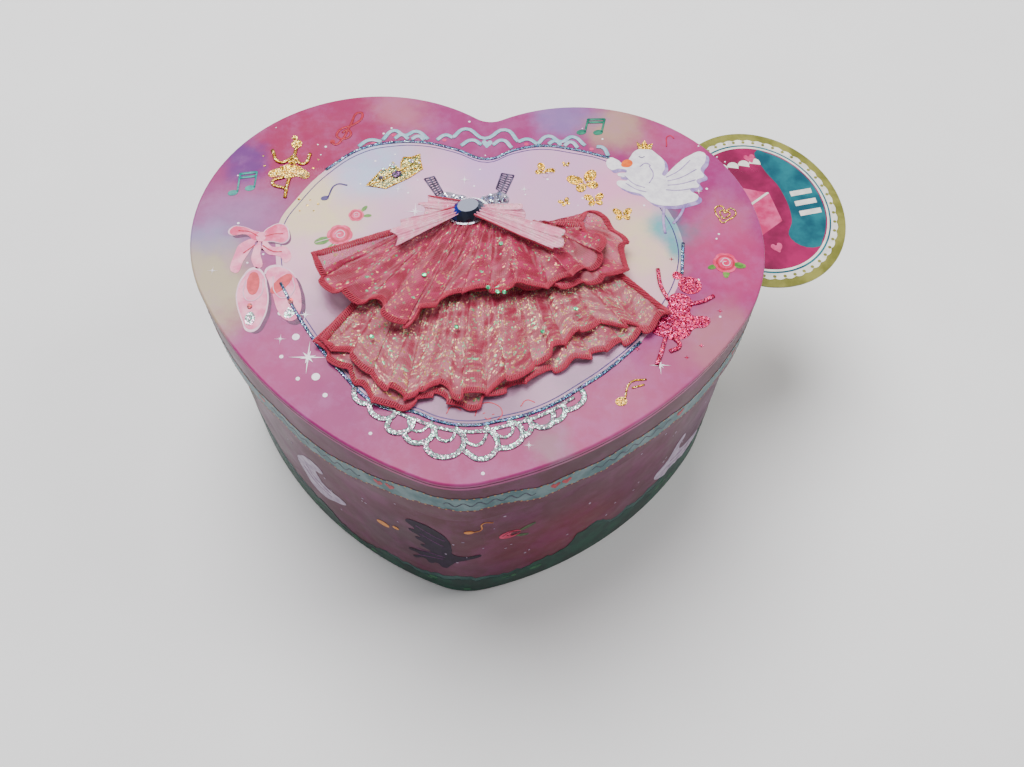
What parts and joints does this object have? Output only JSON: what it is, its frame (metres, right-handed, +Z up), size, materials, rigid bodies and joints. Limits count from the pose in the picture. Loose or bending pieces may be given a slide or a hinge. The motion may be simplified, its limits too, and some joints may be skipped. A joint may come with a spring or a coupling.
{
  "type": "wind up music box",
  "caption": "Heart-shaped wind-up music box with a deep hinged lid, a fabric dress on the lid, a dancer, a comb movement, a back key and a tucked-in oval card tag.",
  "frame": {"origin": "on the underside of the base, in the middle of the lid's width and depth", "axes": "+Z up, +X to the right, the heart's point towards -Y and its two lobes towards +Y"},
  "size_m": [0.2166, 0.1621, 0.1045],
  "materials": {
    "printed_lid_paper": "satin laminated print over board",
    "printed_side_paper": "satin laminated print over board",
    "lining_paper": "matt lining paper",
    "board": "paper-covered board",
    "base_paper": "matt board",
    "nickel_steel": "nickel plated",
    "brass": "satin",
    "steel": "satin",
    "spring_steel": "blued",
    "zinc_frame": "as cast",
    "gold_metal": "bright",
    "velour": "short pile",
    "felt": "felt",
    "mirror_plastic": "mirror",
    "pink_plastic": "gloss",
    "white_plastic": "gloss",
    "doll_plastic": "satin",
    "tulle": "stiff tulle",
    "organza_coral": "organza",
    "organza_pale": "organza with foil",
    "satin_ribbon": "organza ribbon",
    "stone": "faceted acrylic",
    "silver_beads": "faceted foil-backed",
    "tag_card": "coated card"
  },
  "bodies": {
    "case": {"case_wall": "printed_side_paper", "wall_lining": "lining_paper", "case_rivets": "gold_metal", "base_board": "base_paper", "well_floor_lining": "velour", "key_escutcheon": "gold_metal", "cross_board": "lining_paper", "bay_side_board": "lining_paper", "stage_deck": "lining_paper", "support_posts": "board", "ring_shelf": "board", "ring_rolls": "velour", "felt_dots": "felt", "hinge_case_leaf_left": "gold_metal", "hinge_case_leaf_right": "gold_metal", "spring_barrel": "brass", "barrel_cover": "brass", "mainspring": "spring_steel", "movement_frame": "zinc_frame", "comb_screws": "steel", "bridge_screws": "steel", "comb": "steel", "top_bridge": "brass", "movement_screws": "steel", "stop_guide": "white_plastic"},
    "lid": {"lid_board": "printed_lid_paper", "lid_rim": "printed_side_paper", "lid_lining": "lining_paper", "lid_rivets": "gold_metal", "mirror_surround": "pink_plastic", "lid_mirror": "mirror_plastic", "hinge_lid_leaf_left": "gold_metal", "hinge_lid_leaf_right": "gold_metal", "hinge_pin_left": "steel", "hinge_pin_right": "steel", "skirt_lower_tier": "organza_pale", "skirt_upper_tier": "organza_coral", "waist_bow": "satin_ribbon", "gem_setting": "silver_beads", "gem_stone": "stone", "bodice_beads": "silver_beads"},
    "winder": {"winding_shaft": "steel", "winding_key": "nickel_steel", "drive_gear": "brass"},
    "cylinder": {"cylinder_arbor": "steel", "cylinder_pinion": "brass", "music_cylinder": "brass", "cylinder_wheel": "brass", "turntable": "white_plastic", "dancer_spring": "nickel_steel", "dancer_figure": "doll_plastic", "dancer_tutu": "tulle"},
    "governor": {"governor_arbor": "steel", "governor_pinion": "brass", "governor_wheel": "brass"},
    "fan": {"fan_arbor": "steel", "fan_pinion": "brass", "governor_fan": "white_plastic"},
    "stop": {"stop_wire": "steel"},
    "tag": {"card_tag": "tag_card"}
  },
  "joints": [
    {"name": "lid_hinge", "type": "hinge", "parent": "case", "child": "lid", "pos_m": [0, 0.07375, 0.0696], "axis": [-1, 0, 0], "range_deg": [0, 100]},
    {"name": "key_turn", "type": "hinge", "parent": "case", "child": "winder", "pos_m": [0.0335, 0.04955, 0.02], "axis": [0, 1, 0], "continuous": true},
    {"name": "cylinder_turn", "type": "hinge", "parent": "case", "child": "cylinder", "pos_m": [0.0335, 0.03875, 0.02], "axis": [0, 0, 1], "continuous": true},
    {"name": "governor_turn", "type": "hinge", "parent": "case", "child": "governor", "pos_m": [0.023, 0.03875, 0.02], "axis": [0, 0, 1], "continuous": true},
    {"name": "fan_turn", "type": "hinge", "parent": "case", "child": "fan", "pos_m": [0.0143, 0.03288, 0.02], "axis": [0, 0, 1], "continuous": true},
    {"name": "stop_lift", "type": "slide", "parent": "case", "child": "stop", "axis": [0, 0, 1], "range_m": [0, 0.003]},
    {"name": "tag_pull", "type": "slide", "parent": "case", "child": "tag", "axis": [0.9573, 0.289, 0], "range_m": [0, 0.03]}
  ],
  "couplings": [
    {"joint": "cylinder_turn", "follows": "key_turn", "ratio": 1.5},
    {"joint": "governor_turn", "follows": "key_turn", "ratio": -3},
    {"joint": "fan_turn", "follows": "key_turn", "ratio": 6},
    {"joint": "stop_lift", "follows": "lid_hinge", "m_per_rad": 0.0017}
  ]
}
